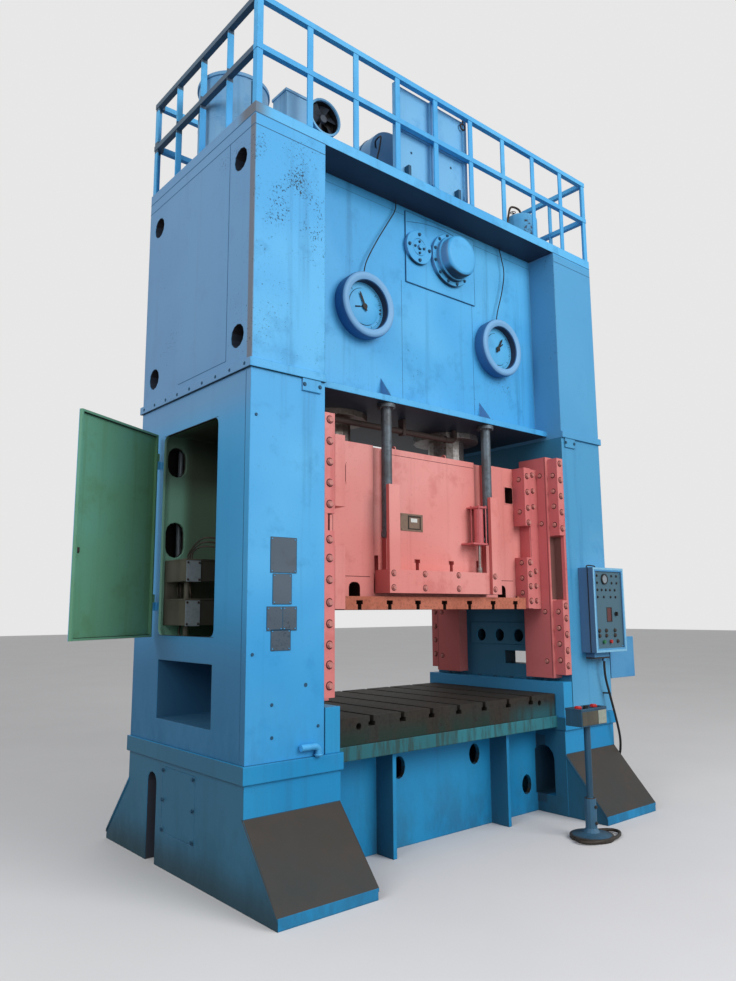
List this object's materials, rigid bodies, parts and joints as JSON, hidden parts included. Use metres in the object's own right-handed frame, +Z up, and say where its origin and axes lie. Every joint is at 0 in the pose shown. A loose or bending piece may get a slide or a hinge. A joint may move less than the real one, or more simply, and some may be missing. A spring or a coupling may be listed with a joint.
{
  "type": "hydraulic press",
  "caption": "Large straight-side hydraulic press: ram between box guides, T-slotted bolster and ram plate, crown with dials, deck with guardrail, valve cabinet and control box.",
  "frame": {"origin": "on the floor, in the middle of the frame's footprint", "axes": "+Z up, +X to the right along the front, -Y out of the front"},
  "size_m": [5.2664, 2.72, 6.17],
  "materials": {
    "blue_paint": "worn gloss",
    "salmon_paint": "worn satin",
    "green_paint": "satin",
    "machined_steel": "oiled",
    "rusty_steel": "rusty",
    "grey_paint": "satin",
    "black_rubber": "matt",
    "black_plastic": "satin",
    "black_metal": "satin",
    "red_plastic": "gloss",
    "green_plastic": "gloss"
  },
  "bodies": {
    "frame": {"bed": "blue_paint", "bed_access_panel": "blue_paint", "bolster": "rusty_steel", "key_block_left": "blue_paint", "key_block_right": "blue_paint", "upright_left": "blue_paint", "upright_right": "blue_paint", "crown": "blue_paint", "cylinder_barrel_left": "machined_steel", "cylinder_barrel_right": "machined_steel", "stop_rod_left": "machined_steel", "stop_rod_right": "machined_steel", "guide_bar_front_left": "salmon_paint", "guide_bar_front_right": "salmon_paint", "guide_bar_rear_left": "salmon_paint", "guide_bar_rear_right": "salmon_paint", "gib_front_left": "salmon_paint", "gib_front_right": "salmon_paint", "gib_rear_left": "salmon_paint", "gib_rear_right": "salmon_paint", "dial_left": "blue_paint", "dial_right": "blue_paint", "dome_cover": "blue_paint", "port_plate": "blue_paint", "deck": "blue_paint", "guard_panel": "blue_paint", "guardrail": "blue_paint", "oil_tank": "blue_paint", "air_receiver": "blue_paint", "header_tank": "blue_paint", "fan_motor": "blue_paint", "terminal_box": "blue_paint", "valve_stack": "grey_paint", "control_box": "blue_paint", "junction_box": "blue_paint", "control_cable": "black_rubber", "dial_cable_left": "black_rubber", "dial_cable_right": "black_rubber", "two_hand_stand": "blue_paint"},
    "ram": {"ram": "salmon_paint", "ram_plate": "rusty_steel", "apron": "salmon_paint", "slide_shoe_front_left": "salmon_paint", "slide_shoe_front_right": "salmon_paint", "slide_shoe_rear_left": "salmon_paint", "slide_shoe_rear_right": "salmon_paint", "air_cylinder": "salmon_paint", "plunger_left": "machined_steel", "plunger_right": "machined_steel"},
    "air_rod": {"air_cylinder_rod": "machined_steel"},
    "cabinet_door": {"cabinet_door": "green_paint"},
    "door_latch": {"door_latch": "machined_steel"},
    "pointer_left": {"dial_pointer_left": "black_metal"},
    "pointer_right": {"dial_pointer_right": "black_metal"},
    "control_door": {"control_door": "blue_paint"},
    "start_button": {"start_button": "green_plastic"},
    "stop_button": {"stop_button": "red_plastic"},
    "mode_selector": {"mode_selector": "black_plastic"},
    "palm_button_left": {"palm_button_left": "red_plastic"},
    "palm_button_right": {"palm_button_right": "red_plastic"}
  },
  "joints": [
    {"name": "ram_stroke", "type": "slide", "parent": "frame", "child": "ram", "axis": [0, 0, -1], "range_m": [0, 0.6]},
    {"name": "air_rod_slide", "type": "slide", "parent": "ram", "child": "air_rod", "axis": [0, 0, 1], "range_m": [0, 0.09]},
    {"name": "cabinet_door_swing", "type": "hinge", "parent": "frame", "child": "cabinet_door", "pos_m": [-2.032, 0.457, 2.355], "axis": [0, 0, 1], "range_deg": [-50, 60]},
    {"name": "door_latch_turn", "type": "hinge", "parent": "cabinet_door", "child": "door_latch", "pos_m": [-2.76513, 0.04879, 2.17], "axis": [0.5, -0.866, 0], "range_deg": [0, 90]},
    {"name": "pointer_left_turn", "type": "hinge", "parent": "frame", "child": "pointer_left", "pos_m": [-0.81, -0.5943, 4.17], "axis": [0, -1, 0], "range_deg": [-100, 170]},
    {"name": "pointer_right_turn", "type": "hinge", "parent": "frame", "child": "pointer_right", "pos_m": [0.81, -0.5943, 4.17], "axis": [0, -1, 0], "range_deg": [-100, 170]},
    {"name": "control_door_swing", "type": "hinge", "parent": "frame", "child": "control_door", "pos_m": [2.05, -0.9393, 1.765], "axis": [0, 0, 1], "range_deg": [0, 105]},
    {"name": "start_button_press", "type": "slide", "parent": "control_door", "child": "start_button", "axis": [0, 1, 0], "range_m": [0, 0.006], "stiffness_N_per_m": 600, "springref_m": -0.003},
    {"name": "stop_button_press", "type": "slide", "parent": "control_door", "child": "stop_button", "axis": [0, 1, 0], "range_m": [0, 0.006], "stiffness_N_per_m": 600, "springref_m": -0.003},
    {"name": "mode_selector_turn", "type": "hinge", "parent": "control_door", "child": "mode_selector", "pos_m": [1.91, -0.9823, 1.725], "axis": [0, 1, 0], "range_deg": [-45, 45]},
    {"name": "palm_button_left_press", "type": "slide", "parent": "frame", "child": "palm_button_left", "axis": [0, 0, -1], "range_m": [0, 0.008], "stiffness_N_per_m": 1500, "springref_m": -0.004},
    {"name": "palm_button_right_press", "type": "slide", "parent": "frame", "child": "palm_button_right", "axis": [0, 0, -1], "range_m": [0, 0.008], "stiffness_N_per_m": 1500, "springref_m": -0.004}
  ]
}
